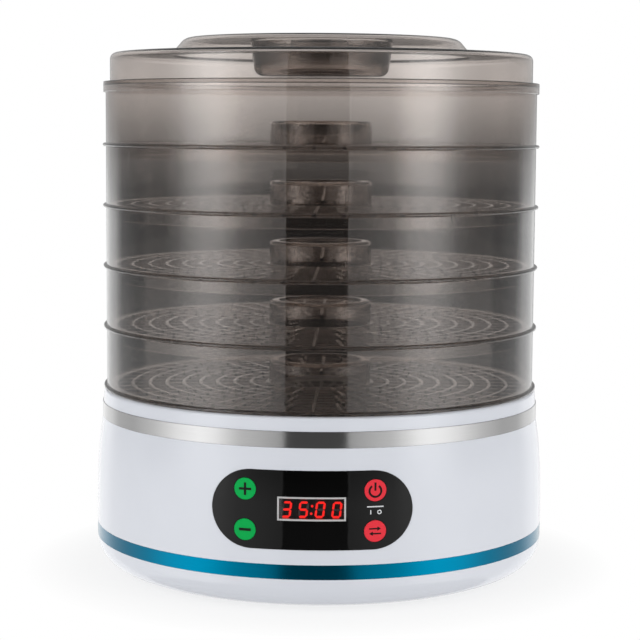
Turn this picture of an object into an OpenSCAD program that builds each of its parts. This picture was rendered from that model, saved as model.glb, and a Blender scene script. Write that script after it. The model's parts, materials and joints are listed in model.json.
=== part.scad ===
// Round food dehydrator: a fan-heated base, five stacking trays and a domed lid.
// The origin is the centre of the feet's underside, +Z is up and the panel faces -Y.

/* [Base] */
// Largest radius of the base shell
base_r = 142.5; // [120:0.5:170]
// Radius of the shell just under the steel band
shoulder_r = 138.7; // [116:0.1:166]
// Height of the rim that the trays stand on
rim_z = 115; // [90:1:150]
// Radius of the rounded lower edge of the shell
heel_r = 19; // [8:0.5:30]
// Wall thickness of the shell
shell_wall = 3.4; // [2.6:0.1:5]
// Height of the rubber feet under the shell
foot_h = 2; // [1:0.5:6]

/* [Trim bands] */
// Width of the blue metallic band
blue_h = 8.6; // [4:0.1:14]
// Width of the stainless steel band
steel_h = 9.6; // [4:0.1:14]
// Thickness of both bands
band_t = 0.6; // [0.4:0.1:1]

/* [Trays] */
// Height that each tray adds to the stack
tray_pitch = 38; // [25:1:60]
// Outer radius of a tray's wall
tray_r = 136; // [110:0.5:160]
// Outer radius of a tray's flange
flange_r = 138; // [112:0.5:162]
// Thickness of a tray's wall, flange and floor
tray_t = 2; // [1.5:0.1:3]
// Depth of the ring that drops into the tray below
spigot_h = 7; // [4:0.5:12]
// Outer radius of the air chimney in the middle of a tray
chimney_r = 32.5; // [20:0.5:45]
// Height of the air chimney above the flange's underside
chimney_h = 16.5; // [8:0.5:30]
// Rows of windows in a tray's floor
mesh_rows = 9; // [6:3:12]
// Windows round each of the three inner rows
mesh_spokes = 24; // [16:4:36]

/* [Lid] */
// Outer radius of the lid's upright wall
lid_r = 133.2; // [108:0.1:158]
// Height of the lid's shelf above the top tray to its top
lid_h = 30; // [20:1:50]
// Height of the flat ring round the dome, above the top tray
lid_ring_h = 20.1; // [10:0.1:30]
// Wall thickness of the lid
lid_t = 2; // [1.5:0.1:3]
// Radius of the round pocket in the dome, at its top edge
pocket_r = 43.5; // [30:0.5:60]
// Depth of the pocket
pocket_depth = 21; // [12:1:28]
// Width of the grip bar across the pocket
grip_w = 34; // [24:1:44]
// Thickness of the grip bar
grip_t = 5; // [4:0.5:7]

/* [Control panel] */
// Width of the panel, straight across
panel_w = 116; // [90:1:140]
// Height of the panel
panel_h = 45.7; // [34:0.1:56]
// Height of the panel's middle above the floor
panel_z = 61.3; // [50:0.1:75]
// Width of the display window's frame
display_w = 39.5; // [30:0.5:50]
// Height of the display window's frame
display_h = 13.8; // [10:0.1:20]
// Height of the display's middle above the floor
display_z = 62.3; // [50:0.1:75]
// Radius of each button's cap
button_r = 6.3; // [4:0.1:8]
// How far a button moves when it's pressed
button_travel = 0.6; // [0.3:0.1:1]

/* [Hidden] */
$fn = 96;
eps = 0.01;
far = 400;

white = [0.93, 0.94, 0.96];
smoke = [0.42, 0.39, 0.37, 0.5];
steel = [0.72, 0.72, 0.72];
black = [0.04, 0.04, 0.05];

// Base shell: heights of its features
heel_z = foot_h + heel_r;
bulge_z = heel_z + blue_h;
steel_z = rim_z - 18.1;
deck_z = steel_z + steel_h;
heel_x = base_r - heel_r;
plate_t = 2.5;
plate_r = 118.3;
lip_r = 106;
lip_t = 3;
lip_z = foot_h + plate_t + lip_t;
snug = 0.05;
side_steps = 8;
arc_steps = 6;

// Fixings between the bottom plate and the shell
base_screw_r = 112;
base_boss_r = 4;
base_boss_top = 22;
screw_r = 1.25;
screw_head_r = 3.2;
screw_head_h = 1.4;

// Feet
foot_r = 8;
foot_ring_r = 96;
foot_stub_r = 3;

// Deck and its outlet
deck_t = 2.5;
deck_hole_r = 55;
deck_skirt_h = 6;
rim_inner_r = 134;
rim_round = 2.5;
grille_r = 58;
grille_t = 2;

// Control panel and what is behind it
panel_t = 1.6;
panel_proud = 0.3;
recess = panel_t - panel_proud;
panel_gap = 0.1;
frame_w = 1;
left_x = -38.5;
right_x = 36.5;
upper_z = 72.8;
lower_z = 49.2;
button_gap = 0.15;
button_proud = 0.6;
button_flange_r = 7.6;
button_flange_y = -129.8;
button_flange_t = 1.6;
switch_gap = 0.1;
switch_tip_y = button_flange_y + button_flange_t + button_travel + switch_gap;
switch_tip_h = 0.7;
switch_body_h = 3.4;
switch_w = 6;
board_y = switch_tip_y + switch_tip_h + switch_body_h;
board_t = 1.6;
board_w = 100;
board_h = 44;
board_posts = [[-46.5, 62], [46.5, 62], [0, 44], [0, 80]];
board_post_r = 3;
module_front_y = -137.6;
module_depth = 8;
module_drop = 0.8;

// Fan, motor and heater, all on the middle axis
duct_r = 54;
duct_t = 1;
duct_z = 30;
duct_flange_r = 64;
post_ring_r = 48;
post_r = 3.5;
bracket_z = 16;
bracket_t = 1.5;
motor_r = 22;
motor_h = 20;
motor_z = bracket_z + bracket_t;
motor_boss_h = 2;
shaft_r = 1.5;
bearing_gap = 0.05;
fan_z = 42;
fan_h = 12;
fan_hub_r = 11;
fan_r = 50;
fan_blades = 7;
fan_pitch = 35;
heater_z = 62;
heater_h = 18;
coil_r = 1.6;
coil_rings = [22, 32, 42];

// Power board at the rear, on posts
power_z = 12;
power_size = [60, 42, 1.6];
power_y = 60;
power_inset = 5;

// Cord gland in a rear recess
gland_z = 45;
gland_floor_y = 136.2;
gland_bore_r = 3.4;
gland_neck_r = 5.5;
gland_flange_r = 8;
gland_pocket = 26;
gland_wall = 3;

// Tray stack
stack_z = rim_z + 5 * tray_pitch;
spigot_r = 133.5;
floor_r = 131.5;
mesh_in_r = chimney_r + 2;
mesh_out_r = floor_r - 2;
mesh_web = 2;
chimney_round = 2.5;
chimney_lip = 6;

// Lid
skirt_r = 137.4;
skirt_gap = 0.3;
skirt_z = stack_z - 4.4;
shelf_z = stack_z + 2.2;
lid_corner = 4;
dome_slope = 50;
dome_round = 8;
dome_top_r = 82.5;
lid_rim_r = 128;
lid_split_r = 97;
grip_drop = 3;
grip_round = 0.8;
grip_wall = 0.8;
lid_top_z = stack_z + lid_h;
lid_ring_z = stack_z + lid_ring_h;
pocket_floor_r = 39;
pocket_corner = 4;

function reversed(v) = [for (i = [len(v) - 1 : -1 : 0]) v[i]];

function arc(cx, cz, r, from, to) =
    [for (i = [0 : arc_steps])
        let (a = from + (to - from) * i / arc_steps)
        [cx + r * cos(a), cz + r * sin(a)]];

// Outer radius of the barrel side at height z
function barrel_r(z) = base_r
    - (base_r - shoulder_r) * pow(max(0, z - bulge_z) / (steel_z - bulge_z), 3);

function barrel_side(inset, from, to) =
    [for (i = [0 : side_steps])
        let (z = from + (to - from) * i / side_steps)
        [barrel_r(z) - inset, z]];

// A curved sheet that follows the barrel, from depth a below its surface to depth b
module barrel_sheet(a, b, from = 34, to = 90) {
    rotate_extrude()
        polygon(concat(barrel_side(a, from, to), reversed(barrel_side(b, from, to))));
}

// Everything inside the barrel's surface, less inset
module barrel_core(inset, from = 30, to = 92) {
    rotate_extrude()
        polygon(concat([[0, from]], barrel_side(inset, from, to), [[0, to]]));
}

// Carries a flat outline in X and Z forward through the panel
module forward(depth = far) {
    rotate([90, 0, 0])
        linear_extrude(depth)
            children();
}

module stadium(w, h) {
    square([w - h, h], center = true);
    for (side = [-1, 1])
        translate([side * (w - h) / 2, 0])
            circle(d = h);
}

// A cylinder along Y between two depths
module y_cylinder(x, z, r, from, to) {
    translate([x, from, z])
        rotate([-90, 0, 0])
            cylinder(r = r, h = to - from);
}

module ring(outer, inner, from, to) {
    rotate_extrude()
        translate([inner, from])
            square([outer - inner, to - from]);
}

module at_base_screws() {
    for (a = [0, 90, 180, 270])
        rotate(a)
            translate([base_screw_r, 0, 0])
                children();
}

module at_feet() {
    for (a = [45, 135, 225, 315])
        rotate(a)
            translate([foot_ring_r, 0, 0])
                children();
}

module at_motor_posts() {
    for (a = [45, 135, 225, 315])
        rotate(a)
            translate([post_ring_r, 0, 0])
                children();
}

module at_duct_tabs() {
    for (a = [30, 150, 270])
        rotate(a)
            translate([(duct_r + duct_flange_r) / 2, 0, 0])
                children();
}

module at_power_posts() {
    for (x = [-1, 1], y = [0, 1])
        translate([
            x * (power_size.x / 2 - power_inset),
            power_y + power_inset + y * (power_size.y - 2 * power_inset),
            0])
            children();
}

module at_buttons() {
    for (x = [left_x, right_x], z = [lower_z, upper_z])
        translate([x, 0, z])
            children();
}

// ---- Base ----

function shell_outline() =
    let (inner_r = heel_r - shell_wall)
    let (lip_a = -asin((heel_z - lip_z) / inner_r))
    concat(
        [[plate_r + 0.2, foot_h + plate_t], [plate_r + 0.2, foot_h]],
        arc(heel_x, heel_z, heel_r, -90, 0),
        [[base_r - band_t - snug, heel_z], [base_r - band_t - snug, bulge_z]],
        barrel_side(0, bulge_z, steel_z),
        [[shoulder_r - band_t - snug, steel_z], [shoulder_r - band_t - snug, deck_z]],
        [[shoulder_r - shell_wall, deck_z]],
        reversed(barrel_side(shell_wall, bulge_z, steel_z)),
        reversed(arc(heel_x, heel_z, inner_r, lip_a, 0)),
        [[lip_r, lip_z], [lip_r, foot_h + plate_t]]);

module panel_cutouts() {
    translate([0, 0, display_z])
        forward()
            square([display_w + 2 * panel_gap, display_h + 2 * panel_gap], center = true);
    at_buttons()
        y_cylinder(0, 0, button_r + button_gap, -far, 0);
}

module base_shell() {
    color(white)
    difference() {
        union() {
            rotate_extrude()
                polygon(shell_outline());
            intersection() {
                union() {
                    for (p = board_posts)
                        y_cylinder(p.x, p.y, board_post_r, -base_r, board_y);
                    translate([
                        -gland_pocket / 2 - gland_wall,
                        gland_floor_y - gland_wall,
                        gland_z - gland_pocket / 2 - gland_wall])
                        cube([
                            gland_pocket + 2 * gland_wall,
                            base_r,
                            gland_pocket + 2 * gland_wall]);
                }
                barrel_core(shell_wall / 2 + recess / 2);
            }
            at_base_screws()
                translate([0, 0, lip_z - eps])
                    cylinder(r = base_boss_r, h = base_boss_top - lip_z);
        }
        intersection() {
            barrel_sheet(-1, recess);
            translate([0, 0, panel_z])
                forward()
                    stadium(panel_w + 2 * panel_gap, panel_h + 2 * panel_gap);
        }
        panel_cutouts();
        for (p = board_posts)
            y_cylinder(p.x, p.y, screw_r + snug, board_y - 7, board_y + 1);
        at_base_screws()
            translate([0, 0, foot_h])
                cylinder(r = screw_r + snug, h = 15);
        translate([-gland_pocket / 2, gland_floor_y, gland_z - gland_pocket / 2])
            cube([gland_pocket, 20, gland_pocket]);
        y_cylinder(0, gland_z, gland_neck_r + snug, gland_floor_y - 10, gland_floor_y + 1);
    }
}

module bottom_plate() {
    post_top = bracket_z - foot_h - plate_t;
    intake_slots = 32;
    color(white)
    difference() {
        union() {
            translate([0, 0, foot_h])
                cylinder(r = plate_r, h = plate_t);
            translate([0, 0, foot_h + plate_t - eps]) {
                at_motor_posts()
                    cylinder(r = post_r, h = post_top + eps);
                at_power_posts()
                    cylinder(r = post_r, h = power_z - foot_h - plate_t + eps);
            }
        }
        for (i = [0 : intake_slots - 1])
            rotate(i * 360 / intake_slots)
                translate([18 + (i % 2) * 8, -1.4, 0])
                    cube([24 - (i % 2) * 8, 2.8, 10]);
        at_feet()
            cylinder(r = foot_stub_r + snug, h = 10);
        at_base_screws() {
            cylinder(r = screw_r + 0.4, h = 10);
            translate([0, 0, foot_h - 1])
                cylinder(r = screw_head_r + 0.3, h = 1 + screw_head_h + 0.1);
        }
        at_motor_posts()
            translate([0, 0, bracket_z - 9])
                cylinder(r = screw_r + snug, h = 10);
        at_power_posts()
            translate([0, 0, power_z - 6])
                cylinder(r = screw_r + snug, h = 10);
    }
}

module rubber_feet() {
    edge = 0.5;
    top = foot_h + plate_t;
    color([0.12, 0.12, 0.13])
    at_feet()
        rotate_extrude()
            polygon([
                [0, 0], [foot_r - edge, 0], [foot_r, edge], [foot_r, foot_h],
                [foot_stub_r, foot_h], [foot_stub_r, top], [foot_stub_r + 1, top],
                [foot_stub_r - 1, top + 2.5], [0, top + 2.5]]);
}

module pan_screw(length) {
    translate([0, 0, -screw_head_h])
        cylinder(r = screw_head_r, h = screw_head_h);
    cylinder(r = screw_r, h = length);
}

module base_screws() {
    color(steel)
    at_base_screws()
        translate([0, 0, foot_h + screw_head_h + 0.1])
            pan_screw(12);
}

module blue_band() {
    color([0.0, 0.45, 0.65])
    ring(base_r, base_r - band_t, heel_z + snug, bulge_z - snug);
}

module steel_band() {
    color(steel)
    ring(shoulder_r, shoulder_r - band_t, steel_z + snug, deck_z - snug);
}

module top_deck() {
    skirt_outer = shoulder_r - shell_wall - 0.2;
    skirt_inner = skirt_outer - 2.8;
    under = deck_z - deck_t;
    rim_r = shoulder_r - 0.3;
    color(white)
    difference() {
        rotate_extrude()
            polygon(concat(
                [[deck_hole_r, under], [skirt_inner, under]],
                [[skirt_inner, deck_z - deck_skirt_h], [skirt_outer, deck_z - deck_skirt_h]],
                [[skirt_outer, deck_z], [rim_r, deck_z]],
                arc(rim_r - 0.6 - rim_round, rim_z - rim_round, rim_round, 0, 90),
                [[rim_inner_r, rim_z], [rim_inner_r, deck_z], [deck_hole_r, deck_z]]));
        at_duct_tabs()
            translate([0, 0, under - 1])
                cylinder(r = screw_r + snug, h = deck_t + 2);
    }
}

// A window of a round mesh: a four-sided hole between two radii
module mesh_window(inner, outer, pitch_a, web) {
    inner_a = pitch_a / 2 - asin(web / 2 / inner);
    outer_a = pitch_a / 2 - asin(web / 2 / outer);
    polygon([
        inner * [cos(-inner_a), sin(-inner_a)],
        outer * [cos(-outer_a), sin(-outer_a)],
        outer * [cos(outer_a), sin(outer_a)],
        inner * [cos(inner_a), sin(inner_a)]]);
}

module mesh_row(inner, outer, count, web) {
    for (i = [0 : count - 1])
        rotate((i + 0.5) * 360 / count)
            mesh_window(inner, outer, 360 / count, web);
}

module outlet_grille() {
    cap_r = 14;
    plug_r = deck_hole_r - 0.2;
    color(white)
    difference() {
        rotate_extrude()
            polygon([
                [0, deck_z], [plug_r - 2, deck_z], [plug_r - 2, deck_z - deck_t],
                [plug_r, deck_z - deck_t], [plug_r, deck_z], [grille_r, deck_z],
                [grille_r - 1, deck_z + grille_t], [cap_r, deck_z + grille_t],
                [cap_r - 3, deck_z + grille_t + 3], [0, deck_z + grille_t + 3.5]]);
        translate([0, 0, deck_z - 1])
            linear_extrude(grille_t + 2) {
                mesh_row(16, 27, 24, 2.4);
                mesh_row(29.5, 39.5, 36, 2.4);
                mesh_row(42, 51, 36, 2.4);
            }
    }
}

// ---- Control panel ----

module control_panel() {
    color(black)
    difference() {
        intersection() {
            barrel_sheet(-panel_proud, recess);
            translate([0, 0, panel_z])
                forward()
                    stadium(panel_w, panel_h);
        }
        panel_cutouts();
    }
}

module display_frame() {
    color(white)
    difference() {
        intersection() {
            barrel_sheet(-panel_proud - 0.1, recess + 1);
            translate([0, 0, display_z])
                forward()
                    square([display_w, display_h], center = true);
        }
        translate([0, 0, display_z])
            forward()
                square([display_w - 2 * frame_w, display_h - 2 * frame_w], center = true);
    }
}

module display_lens() {
    color([0.12, 0.02, 0.03])
    intersection() {
        barrel_sheet(-panel_proud + 0.3, recess + 0.6);
        translate([0, 0, display_z])
            forward()
                square([
                    display_w - 2 * frame_w - 2 * snug,
                    display_h - 2 * frame_w - 2 * snug], center = true);
    }
}

module display_module() {
    size = [display_w - 2 * frame_w - 0.3, module_depth, 12.2];
    window = [8, 1.2, 10.4];
    digit_pitch = 9.6;
    middle_z = display_z - module_drop;
    color(black)
    difference() {
        translate([-size.x / 2, module_front_y, middle_z - size.z / 2])
            cube(size);
        for (i = [-1.5 : 1.5])
            translate([
                i * digit_pitch - window.x / 2,
                module_front_y - window.y / 2,
                middle_z - window.z / 2])
                cube(window);
    }
}

module display_holder() {
    back = board_y;
    front = module_front_y + module_depth;
    middle_z = display_z - module_drop;
    color([0.85, 0.85, 0.85])
    difference() {
        translate([-19, front, middle_z - 6.8])
            cube([38, back - front, 13.6]);
        translate([-16, front - 1, middle_z - 4.8])
            cube([32, back - front + 2, 9.6]);
    }
}

module control_board() {
    color([0.05, 0.35, 0.15])
    difference() {
        translate([-board_w / 2, board_y, 62 - board_h / 2])
            cube([board_w, board_t, board_h]);
        for (p = board_posts)
            y_cylinder(p.x, p.y, screw_r + 0.3, board_y - 1, board_y + board_t + 1);
    }
}

module tact_switches() {
    color([0.2, 0.2, 0.2])
    at_buttons() {
        translate([-switch_w / 2, board_y - switch_body_h, -switch_w / 2])
            cube([switch_w, switch_body_h, switch_w]);
        y_cylinder(0, 0, 1.7, switch_tip_y, board_y - switch_body_h + eps);
    }
}

module board_screws() {
    color(steel)
    for (p = board_posts)
        translate([p.x, board_y + board_t, p.y])
            rotate([90, 0, 0])
                pan_screw(7);
}

module button(x, z) {
    back = button_flange_y + button_flange_t;
    intersection() {
        y_cylinder(x, z, button_r, -far, back);
        barrel_sheet(-button_proud, 18);
    }
    y_cylinder(x, z, button_flange_r, button_flange_y, back);
}

module button_plus() {
    color([0.05, 0.6, 0.25])
    button(left_x, upper_z);
}

module button_minus() {
    color([0.05, 0.6, 0.25])
    button(left_x, lower_z);
}

module button_power() {
    color([0.85, 0.2, 0.25])
    button(right_x, upper_z);
}

module button_mode() {
    color([0.85, 0.2, 0.25])
    button(right_x, lower_z);
}

// ---- Air path: duct, heater, fan and motor ----

module air_duct() {
    top = deck_z - deck_t;
    flange_t = 1.2;
    color([0.75, 0.76, 0.78])
    difference() {
        union() {
            ring(duct_r, duct_r - duct_t, duct_z, top);
            intersection() {
                translate([0, 0, top - flange_t])
                    cylinder(r = duct_flange_r, h = flange_t);
                at_duct_tabs()
                    translate([-10, -7, 0])
                        cube([20, 14, far]);
            }
        }
        translate([0, 0, duct_z - 1])
            cylinder(r = duct_r - duct_t, h = far);
        at_duct_tabs()
            translate([0, 0, top - 10])
                cylinder(r = screw_r + 0.3, h = 12);
        translate([0, 0, 94])
            rotate([0, 90, 0])
                cylinder(r = 2.3, h = far);
        for (x = [-6, 6])
            translate([x, 0, 70])
                rotate([-90, 0, 0])
                    cylinder(r = 2.2, h = far);
    }
}

module duct_screws() {
    color(steel)
    at_duct_tabs()
        translate([0, 0, deck_z - deck_t - 1.2])
            pan_screw(3.4);
}

module coil_ring(r, minor) {
    rotate_extrude()
        translate([r, 0])
            circle(r = minor, $fn = 32);
}

module heater_frame() {
    reach = duct_r - duct_t - 0.6;
    color([0.8, 0.74, 0.6])
    difference() {
        for (a = [0, 90])
            rotate(a)
                translate([-reach, -0.6, heater_z])
                    cube([2 * reach, 1.2, heater_h]);
        for (r = coil_rings)
            translate([0, 0, heater_z + heater_h - 5])
                coil_ring(r, coil_r + snug);
    }
}

module heater_coils() {
    color([0.5, 0.46, 0.42])
    for (r = coil_rings)
        translate([0, 0, heater_z + heater_h - 5])
            coil_ring(r, coil_r);
}

module thermostat() {
    body_r = 7.5;
    body_h = 8;
    color([0.15, 0.13, 0.12])
    translate([0, 0, heater_z + heater_h]) {
        cylinder(r = body_r, h = body_h);
        for (x = [-4.5, 1.5])
            translate([x, -0.4, body_h - eps])
                cube([3, 0.8, 5]);
    }
}

module thermal_fuse() {
    color([0.85, 0.8, 0.7])
    translate([6, 2.7, heater_z + 5])
        rotate([0, 90, 0]) {
            cylinder(r = 2, h = 11);
            translate([0, 0, -4])
                cylinder(r = 0.5, h = 19);
        }
}

module temperature_sensor() {
    color([0.2, 0.2, 0.2])
    translate([duct_r, 0, 94])
        rotate([0, 90, 0]) {
            translate([0, 0, -14])
                cylinder(r = 2, h = 18);
            translate([0, 0, 0.2])
                cylinder(r = 4, h = 1.5);
        }
}

module motor_bracket() {
    arm_w = 10;
    color(steel)
    difference() {
        translate([0, 0, bracket_z]) {
            cylinder(r = motor_r + 2, h = bracket_t);
            for (a = [45, 135])
                rotate(a)
                    translate([-post_ring_r - 5, -arm_w / 2, 0])
                        cube([2 * post_ring_r + 10, arm_w, bracket_t]);
        }
        at_motor_posts()
            cylinder(r = screw_r + 0.3, h = far);
        translate([0, 0, bracket_z - 1])
            cylinder(r = 6, h = 4);
    }
}

module bracket_screws() {
    color(steel)
    at_motor_posts()
        translate([0, 0, bracket_z + bracket_t])
            mirror([0, 0, 1])
                pan_screw(8);
}

module motor_housing() {
    color([0.35, 0.36, 0.38])
    translate([0, 0, motor_z])
        difference() {
            union() {
                cylinder(r = motor_r, h = motor_h);
                translate([0, 0, motor_h - eps])
                    cylinder(r = 6, h = motor_boss_h);
                for (i = [0 : 11])
                    rotate(i * 30)
                        translate([motor_r - 1, -1.5, 3])
                            cube([2, 3, motor_h - 6]);
            }
            translate([0, 0, 3])
                cylinder(r = shaft_r + bearing_gap, h = far);
        }
}

module motor_shaft() {
    color(steel)
    translate([0, 0, motor_z + 3.5])
        cylinder(r = shaft_r, h = fan_z + fan_h - motor_z - 5);
}

module fan_rotor() {
    chord = 18;
    blade_t = 1.6;
    color([0.9, 0.9, 0.88])
    difference() {
        union() {
            translate([0, 0, fan_z])
                cylinder(r = fan_hub_r, h = fan_h);
            intersection() {
                for (i = [0 : fan_blades - 1])
                    rotate(i * 360 / fan_blades)
                        translate([fan_hub_r - 3, 0, fan_z + fan_h / 2])
                            rotate([fan_pitch, 0, 0])
                                translate([0, -chord / 2, -blade_t / 2])
                                    cube([fan_r, chord, blade_t]);
                cylinder(r = fan_r, h = far);
            }
        }
        translate([0, 0, fan_z - 1])
            cylinder(r = shaft_r + 0.02, h = fan_h - 0.5);
    }
}

// ---- Power board and wiring ----

module power_board() {
    color([0.7, 0.55, 0.3])
    difference() {
        translate([-power_size.x / 2, power_y, power_z])
            cube(power_size);
        at_power_posts()
            cylinder(r = screw_r + 0.3, h = far);
    }
}

module power_board_screws() {
    color(steel)
    at_power_posts()
        translate([0, 0, power_z + power_size.z])
            mirror([0, 0, 1])
                pan_screw(5);
}

module transformer() {
    color([0.75, 0.7, 0.3])
    translate([-16, power_y + 10, power_z + power_size.z]) {
        cube([22, 18, 4]);
        translate([2, 2, 4 - eps])
            cube([18, 14, 9]);
        translate([0, 0, 13 - 2 * eps])
            cube([22, 18, 3]);
    }
}

module relay() {
    color([0.1, 0.25, 0.6])
    translate([9, power_y + 20, power_z + power_size.z])
        cube([16, 13, 15]);
}

module smoothing_capacitor() {
    color([0.1, 0.1, 0.2])
    translate([15, power_y + 12, power_z + power_size.z])
        cylinder(r = 5, h = 13);
}

module ribbon_cable() {
    ribbon_t = 1;
    ribbon_w = 10;
    run_r = 85;
    run_z = 23;
    turn = 150;
    board_back = board_y + board_t;
    color([0.8, 0.8, 0.82]) {
        rotate(-90)
            rotate_extrude(angle = turn)
                translate([run_r, run_z])
                    square([ribbon_t, ribbon_w]);
        translate([-ribbon_w / 2, board_back + 3, run_z])
            cube([ribbon_w, -run_r - board_back - 3, ribbon_t]);
        translate([-ribbon_w / 2, board_back + 3, run_z])
            cube([ribbon_w, ribbon_t, 35]);
        translate([-ribbon_w / 2, board_back, run_z + 27])
            cube([ribbon_w, 4, 8]);
        translate([22, run_r * sin(turn - 90), run_z])
            cube([run_r * cos(turn - 90) - 21, ribbon_t, ribbon_w]);
    }
}

module rod(a, b, r) {
    d = b - a;
    translate(a)
        rotate([0, acos(d.z / norm(d)), atan2(d.y, d.x)])
            cylinder(r = r, h = norm(d));
}

module wire(route, r, $fn = 10) {
    for (i = [0 : len(route) - 2])
        rod(route[i], route[i + 1], r);
    for (p = route)
        translate(p)
            sphere(r = r);
}

module wiring() {
    wire_r = 1.3;
    top = power_z + power_size.z + wire_r;
    for (x = [-6, 6])
        color([0.85, 0.85, 0.82])
        wire([[x, 45, 70], [x, 62, 70], [3 * x, power_y + 2, top + 6], [3 * x, power_y + 4, top]],
            wire_r);
    for (x = [-3, 3])
        color([0.15, 0.15, 0.15])
        wire([[x, 24, 24], [x, 52, 22], [x, 57, 22], [x, power_y + 5, top]], wire_r);
    for (x = [-2, 2])
        color([0.4, 0.25, 0.1])
        wire([[x, 127, gland_z], [x, 112, gland_z - 6], [x, power_y + 37, top]], wire_r);
}

module cord_gland() {
    color([0.1, 0.1, 0.1])
    difference() {
        union() {
            y_cylinder(0, gland_z, gland_flange_r, gland_floor_y, gland_floor_y + 3);
            y_cylinder(0, gland_z, gland_neck_r, gland_floor_y - gland_wall - 3,
                gland_floor_y + 5);
            y_cylinder(0, gland_z, gland_flange_r - 1, gland_floor_y - gland_wall - 3,
                gland_floor_y - gland_wall);
        }
        y_cylinder(0, gland_z, gland_bore_r, gland_floor_y - 20, gland_floor_y + 20);
    }
}

// ---- Trays and lid ----

module tray_mesh() {
    depth = (mesh_out_r - mesh_in_r + mesh_web) / mesh_rows;
    difference() {
        circle(r = floor_r - snug);
        circle(r = chimney_r + snug);
        for (row = [0 : mesh_rows - 1]) {
            inner = mesh_in_r + row * depth;
            count = mesh_spokes * (2 + floor(row * 3 / mesh_rows)) / 2;
            mesh_row(inner, inner + depth - mesh_web, count, mesh_web);
        }
    }
}

// Height of a tray's flange underside
function tray_z(index) = rim_z + (index - 1) * tray_pitch;

module tray_wall(index) {
    z = tray_z(index);
    round_r = tray_t / 2;
    in_r = tray_r - tray_t;
    color(smoke)
    rotate_extrude()
        polygon(concat(
            [[floor_r, z - spigot_h], [spigot_r, z - spigot_h], [spigot_r, z]],
            arc(flange_r - round_r, z + round_r, round_r, -90, 90),
            [[tray_r, z + tray_t], [tray_r, z + tray_pitch]],
            [[in_r, z + tray_pitch], [in_r, z + tray_t], [floor_r, z + tray_t]]));
}

module tray_floor(index) {
    color(smoke)
    translate([0, 0, tray_z(index)])
        linear_extrude(tray_t)
            tray_mesh();
}

module tray_chimney(index) {
    z = tray_z(index);
    top = z + chimney_h;
    color(smoke)
    rotate_extrude()
        polygon(concat(
            [[chimney_r - tray_t, z], [chimney_r, z]],
            arc(chimney_r - chimney_round, top - chimney_round, chimney_round, 0, 90),
            [[chimney_r - chimney_lip, top], [chimney_r - chimney_lip, top - tray_t]],
            [[chimney_r - tray_t, top - tray_t]]));
}

module tray_1_wall() { tray_wall(1); }
module tray_2_wall() { tray_wall(2); }
module tray_3_wall() { tray_wall(3); }
module tray_4_wall() { tray_wall(4); }
module tray_5_wall() { tray_wall(5); }
module tray_1_floor() { tray_floor(1); }
module tray_2_floor() { tray_floor(2); }
module tray_3_floor() { tray_floor(3); }
module tray_4_floor() { tray_floor(4); }
module tray_5_floor() { tray_floor(5); }
module tray_1_chimney() { tray_chimney(1); }
module tray_2_chimney() { tray_chimney(2); }
module tray_3_chimney() { tray_chimney(3); }
module tray_4_chimney() { tray_chimney(4); }
module tray_5_chimney() { tray_chimney(5); }

// The lid's outer surface, moved in by t
function lid_outline(t) =
    let (r = dome_round - t)
    let (arc_a = 90 - dome_slope)
    let (rise = lid_top_z - dome_round + r * sin(arc_a) - lid_ring_z + t)
    concat(
        arc(lid_r - lid_corner, lid_ring_z - lid_corner, lid_corner - t, 0, 90),
        [[dome_top_r + r * cos(arc_a) + rise / tan(dome_slope), lid_ring_z - t]],
        arc(dome_top_r, lid_top_z - dome_round, r, arc_a, 90));

// The pocket in the dome, moved out by t
module lid_pocket(t) {
    floor_z = lid_top_z - pocket_depth - t;
    rotate_extrude()
        polygon(concat(
            [[0, lid_top_z + 1], [0, floor_z]],
            arc(pocket_floor_r - pocket_corner + t, floor_z + pocket_corner + t,
                pocket_corner + t, -90, 0),
            [[pocket_r + t, lid_top_z + 1]]));
}

// The lid filled solid, with its surface moved in by t and its foot at z
module lid_solid(t, foot) {
    difference() {
        rotate_extrude()
            polygon(concat([[0, foot], [lid_r - t, foot]], lid_outline(t),
                [[0, lid_top_z - t]]));
        lid_pocket(t);
    }
}

// The whole lid moulding, made as three rings that meet in its flat top
module lid_moulding() {
    in_r = tray_r + skirt_gap;
    difference() {
        lid_solid(0, stack_z);
        lid_solid(lid_t, stack_z - 1);
    }
    rotate_extrude()
        polygon([
            [lid_r - lid_t, stack_z], [in_r, stack_z], [in_r, skirt_z],
            [skirt_r, skirt_z], [skirt_r, shelf_z], [lid_r - lid_t, shelf_z]]);
}

module lid_rim() {
    color(smoke)
    difference() {
        lid_moulding();
        cylinder(r = lid_rim_r, h = far);
    }
}

module lid_ring() {
    color(smoke)
    ring(lid_rim_r - snug, lid_split_r, lid_ring_z - lid_t, lid_ring_z);
}

module lid_dome() {
    color(smoke)
    intersection() {
        lid_moulding();
        cylinder(r = lid_split_r - snug, h = far);
    }
}

module lid_grip() {
    top = lid_top_z - grip_drop;
    color(smoke)
    difference() {
        intersection() {
            lid_pocket(-snug);
            rotate([90, 0, 0])
                translate([0, top - grip_t, -far / 2])
                    linear_extrude(far)
                        polygon([
                            [-grip_w / 2 + grip_round, 0], [grip_w / 2 - grip_round, 0],
                            [grip_w / 2, grip_round], [grip_w / 2, grip_t - grip_round],
                            [grip_w / 2 - grip_round, grip_t], [-grip_w / 2 + grip_round, grip_t],
                            [-grip_w / 2, grip_t - grip_round], [-grip_w / 2, grip_round]]);
        }
        translate([-grip_w / 2 + grip_wall, -far / 2, top - grip_t + grip_wall])
            cube([grip_w - 2 * grip_wall, far, grip_t - 2 * grip_wall]);
    }
}

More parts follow.
